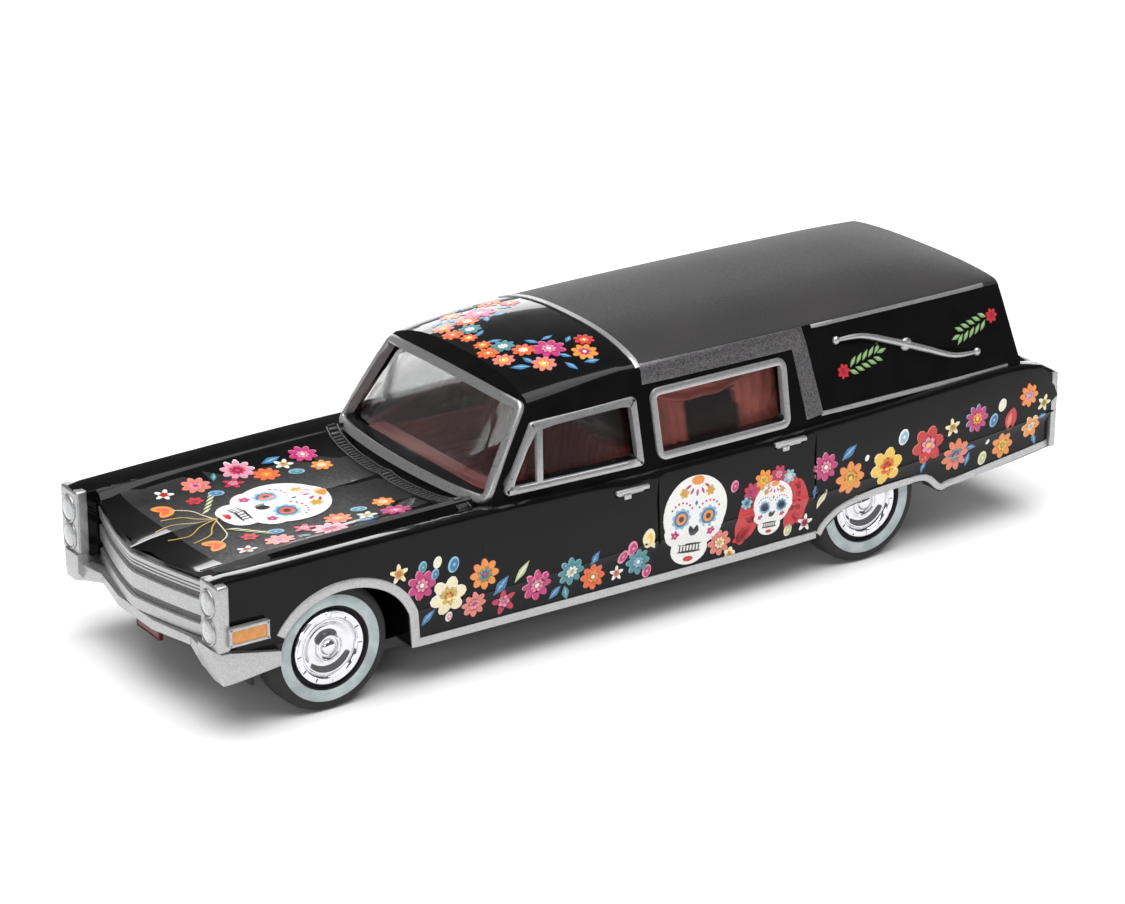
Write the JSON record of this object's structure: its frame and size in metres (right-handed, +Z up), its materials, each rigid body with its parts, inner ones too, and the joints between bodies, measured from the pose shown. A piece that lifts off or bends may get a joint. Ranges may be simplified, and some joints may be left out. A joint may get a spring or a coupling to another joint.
{
  "type": "toy hearse",
  "caption": "Die-cast toy of a long formal hearse with landau bars, curtained windows, a floral printed black body, a riveted base and free-rolling wheels.",
  "frame": {"origin": "on the floor, below the middle of the toy's length and width", "axes": "+X to the car's left side, +Y towards its tail, +Z up"},
  "size_m": [0.0312, 0.0988, 0.0275],
  "materials": {
    "black_enamel": "high gloss black enamel with a matte grained roof cover and floral print",
    "base_metal": "satin black painted base",
    "silver_paint": "metallic silver paint",
    "plate_paint": "dark red paint, blank",
    "pearl_paint": "pearl white lamp paint",
    "amber_paint": "amber lamp paint",
    "red_paint": "red lamp paint",
    "clear_plastic": "clear polished moulding",
    "burgundy_plastic": "satin moulded plastic",
    "axle_steel": "bright steel",
    "chrome_plating": "bright plated",
    "tyre_rubber": "black rubber with a pale printed sidewall band"
  },
  "bodies": {
    "root": {"body_casting": "black_enamel", "base_plate": "base_metal", "front_bumper": "silver_paint", "grille": "silver_paint", "front_plate": "plate_paint", "headlamp_lenses": "pearl_paint", "marker_lamps": "amber_paint", "rear_bumper": "silver_paint", "rear_plate": "plate_paint", "tail_lamps": "red_paint", "window_moulding": "clear_plastic", "interior_tub": "burgundy_plastic", "dashboard": "burgundy_plastic", "steering_wheel": "burgundy_plastic", "curtain_panels": "burgundy_plastic", "door_handles": "silver_paint", "landau_bars": "silver_paint", "rivets": "axle_steel"},
    "front_wheelset": {"front_axle": "axle_steel", "front_left_rim": "chrome_plating", "front_right_rim": "chrome_plating", "front_left_tyre": "tyre_rubber", "front_right_tyre": "tyre_rubber"},
    "rear_wheelset": {"rear_axle": "axle_steel", "rear_left_rim": "chrome_plating", "rear_right_rim": "chrome_plating", "rear_left_tyre": "tyre_rubber", "rear_right_tyre": "tyre_rubber"}
  },
  "joints": [
    {"name": "front_wheels_roll", "type": "hinge", "parent": "root", "child": "front_wheelset", "pos_m": [0, -0.03705, 0.0062], "axis": [1, 0, 0], "continuous": true},
    {"name": "rear_wheels_roll", "type": "hinge", "parent": "root", "child": "rear_wheelset", "pos_m": [0, 0.02485, 0.0062], "axis": [1, 0, 0], "continuous": true}
  ]
}
